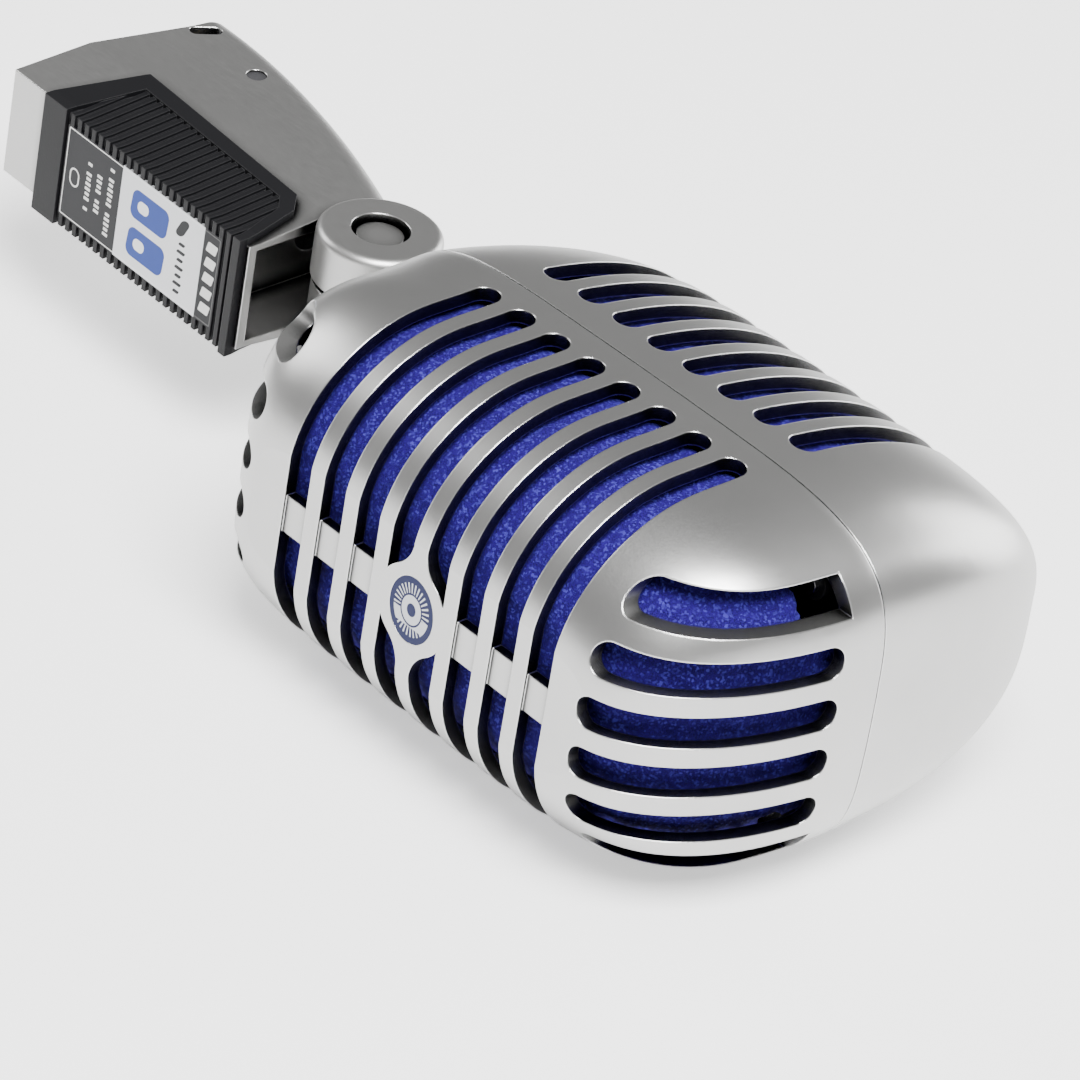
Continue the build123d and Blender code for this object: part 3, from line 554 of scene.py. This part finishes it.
def makeBadgeMaterial():
    low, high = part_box("badge")
    middle = (low + high) / 2
    half = (high - low) / 2
    material, tree, shader = newMaterial("badgeEnamel", badgePrint["navy"], 0.0, 0.40)
    shader.inputs["Specular IOR Level"].default_value = 0.25
    place = addNode(tree, "ShaderNodeTexCoord", (-1900, 0))
    centred = addNode(tree, "ShaderNodeVectorMath", (-1700, 0), operation="SUBTRACT")
    centred.inputs[1].default_value = middle
    join(tree, place, "Object", centred, 0)
    unit = addNode(tree, "ShaderNodeVectorMath", (-1500, 0), operation="DIVIDE")
    unit.inputs[1].default_value = (half.x, 1.0, half.z)
    join(tree, centred, "Vector", unit, 0)
    apart = addNode(tree, "ShaderNodeSeparateXYZ", (-1300, 0))
    join(tree, unit, "Vector", apart, "Vector")
    sums = makeSums(tree)
    squareX = sums("MULTIPLY", (-1100, 200), (apart, "X"), (apart, "X"))
    total = sums("MULTIPLY_ADD", (-950, 200), (apart, "Z"), (apart, "Z"), squareX)
    reach = sums("SQRT", (-800, 200), total)
    angle = sums("ARCTAN2", (-1100, -100), (apart, "Z"), (apart, "X"))
    turned = sums("MULTIPLY", (-950, -100), angle, badgePrint["rays"])
    wave = sums("SINE", (-800, -100), turned)
    rays = sums("GREATER_THAN", (-650, -100), wave, 0.35)
    upper = sums("GREATER_THAN", (-800, -300), (apart, "Z"), -0.12)
    lowerBand = sums("LESS_THAN", (-800, -450), (apart, "Z"), -0.52)
    upperRays = sums("MULTIPLY", (-500, -150), rays, upper)
    notUpper = sums("SUBTRACT", (-650, -300), 1.0, upper)
    field = sums("SUBTRACT", (-500, -350), notUpper, lowerBand)
    edgeOfField = sums("MULTIPLY", (-650, -600), rays, lowerBand)
    pattern = sums("ADD", (-350, -250), upperRays, field)
    pattern = sums("ADD", (-200, -300), pattern, edgeOfField)
    outsideDisc = sums("GREATER_THAN", (-500, 50), reach, 0.50)
    insideRim = sums("LESS_THAN", (-500, 200), reach, 0.80)
    ring = sums("MULTIPLY", (-350, 100), outsideDisc, insideRim)
    pattern = sums("MULTIPLY", (-50, -100), pattern, ring)
    disc = sums("LESS_THAN", (-350, 350), reach, 0.44)
    core = sums("LESS_THAN", (-350, 500), reach, 0.20)
    disc = sums("SUBTRACT", (-200, 400), disc, core)
    pattern = sums("ADD", (100, 0), pattern, disc)
    pattern[0].use_clamp = True
    paint = addNode(tree, "ShaderNodeMix", (300, 0), data_type="RGBA")
    paint.inputs[6].default_value = (*badgePrint["navy"], 1.0)
    paint.inputs[7].default_value = (*badgePrint["pale"], 1.0)
    tree.links.new(pattern[0].outputs[0], paint.inputs["Factor"])
    tree.links.new(paint.outputs[2], shader.inputs["Base Color"])
    texture = useGroup(tree, grain, (100, -500), Scale=2600.0, Patch_Scale=300.0)
    rough = addNode(tree, "ShaderNodeMapRange", (350, -400))
    rough.inputs["To Min"].default_value = 0.34
    rough.inputs["To Max"].default_value = 0.48
    join(tree, texture, "Patch", rough, "Value")
    join(tree, rough, "Result", shader, "Roughness")
    shader.location = (600, 0)
    tree.nodes["Material Output"].location = (950, 0)
    return material


labelFoil = makeLabelMaterial()
badgeEnamel = makeBadgeMaterial()
print("prints made")

cadFinish = {
    "front_grille": headMetal,
    "rear_grille": headMetal,
    "badge": badgeEnamel,
    "seam_frame": darkFrame,
    "frame_screws": screwSteel,
    "cartridge_case": shellMetal,
    "front_cap": shellMetal,
    "diaphragm": diaphragmFilm,
    "voice_coil": copperWire,
    "yoke": screwSteel,
    "magnet": magnetIron,
    "pole_piece": screwSteel,
    "shock_ring_front": shockRubber,
    "shock_ring_rear": shockRubber,
    "cradle": darkFrame,
    "neck": baseMetal,
    "transformer": magnetIron,
    "base_body": baseMetal,
    "pivot_pin": baseMetal,
    "upper_washer": nylon,
    "lower_washer": nylon,
    "nameplate": blackPlastic,
    "label_plate": labelFoil,
    "connector_insert": blackPlastic,
    "contact_pins": contactBrass,
    "set_screw": magnetIron,
    "front_foam": blueFoam,
    "rear_foam": blueFoam,
}
for name, material in cadFinish.items():
    mesh = cadNodes[name].data
    mesh.materials.clear()
    mesh.materials.append(material)
print("finishes given to the frame's nodes")

foamPads = {
    # one pad behind each half shell
    "nodes": ("front_foam", "rear_foam"),
    "cell": 0.0011,
    "lump": 0.0005,
    "lumpScale": 420.0,
    "grit": 0.00022,
    "gritScale": 1900.0,
    "fill": 0.8,
}


def makeFoamPad(node):
    bpy.ops.object.select_all(action="DESELECT")
    pad = cadNodes[node].copy()
    pad.data = cadNodes[node].data.copy()
    pad.name = node.replace("_foam", "Foam")
    pad.parent = None
    bpy.context.scene.collection.objects.link(pad)
    pad.hide_render = False
    pad.hide_set(False)
    bpy.context.view_layer.objects.active = pad
    pad.select_set(True)
    bpy.ops.object.mode_set(mode="EDIT")
    bpy.ops.mesh.select_all(action="SELECT")
    bpy.ops.mesh.remove_doubles(threshold=0.00001)
    bpy.ops.object.mode_set(mode="OBJECT")
    remesh = pad.modifiers.new("evenMesh", "REMESH")
    remesh.mode = "VOXEL"
    remesh.voxel_size = foamPads["cell"]
    bpy.ops.object.modifier_apply(modifier=remesh.name)
    # soft lumps with a fine grit over them, pushed along each point's normal
    shifts = []
    for point in pad.data.vertices:
        lump = noise.noise(point.co * foamPads["lumpScale"]) * foamPads["lump"]
        grit = noise.noise(point.co * foamPads["gritScale"]) * foamPads["grit"]
        shifts.append(point.normal * (lump + grit))
    for point, shift in zip(pad.data.vertices, shifts):
        point.co += shift
    bpy.ops.object.shade_smooth()
    pad.data.materials.clear()
    pad.data.materials.append(blueFoam)
    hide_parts(node)
    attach(pad, "head")


for node in foamPads["nodes"]:
    makeFoamPad(node)
print("foam pads made")

studio = {
    "floorSize": 8.0,
    "floorColor": (0.92, 0.92, 0.92),
    "floorGlow": 0.18,
    "floorShown": 0.9,
    "worldColor": (0.30, 0.30, 0.30),
}


def makeFloor():
    bpy.ops.object.select_all(action="DESELECT")
    low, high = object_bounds()
    middle = (low + high) / 2
    bpy.ops.mesh.primitive_plane_add(
        size=studio["floorSize"], location=(middle.x, middle.y, low.z)
    )
    floor = bpy.context.object
    floor.name = "floor"
    material, tree, shader = newMaterial("floor", studio["floorColor"], 0.0, 0.6)
    shader.inputs["Emission Color"].default_value = (1.0, 1.0, 1.0, 1.0)
    # the floor looks whiter to the eye than the light that it gives the metal
    seen = addNode(tree, "ShaderNodeLightPath", (-600, -300))
    glow = addNode(tree, "ShaderNodeMapRange", (-300, -300))
    glow.inputs["To Min"].default_value = studio["floorGlow"]
    glow.inputs["To Max"].default_value = studio["floorShown"]
    join(tree, seen, "Is Camera Ray", glow, "Value")
    join(tree, glow, "Result", shader, "Emission Strength")
    floor.data.materials.append(material)


lamps = {
    # name: direction from the object (azimuth, elevation), distance, size, power
    "cameraSoftbox": (60.0, 62.0, 1.3, 0.7, 50.0),
    "backPanel": (172.0, 14.0, 1.3, 0.9, 15.0),
    "leftPanel": (-75.0, 30.0, 1.5, 0.7, 8.0),
}


def makeLamps():
    low, high = cadBox
    middle = (low + high) / 2
    for name, (azimuth, elevation, distance, size, power) in lamps.items():
        away = direction(math.radians(azimuth), math.radians(elevation))
        lamp = bpy.data.lights.new(name, "AREA")
        lamp.size = size
        lamp.energy = power
        holder = bpy.data.objects.new(name, lamp)
        holder.location = middle + away * distance
        holder.rotation_euler = away.to_track_quat("Z", "Y").to_euler()
        bpy.context.scene.collection.objects.link(holder)


def makeWorld():
    world = bpy.data.worlds.new("studio")
    bpy.context.scene.world = world
    world.use_nodes = True
    back = world.node_tree.nodes["Background"]
    back.inputs["Color"].default_value = (*studio["worldColor"], 1.0)
    back.inputs["Strength"].default_value = 1.0


makeFloor()
makeLamps()
makeWorld()
print("studio lit")
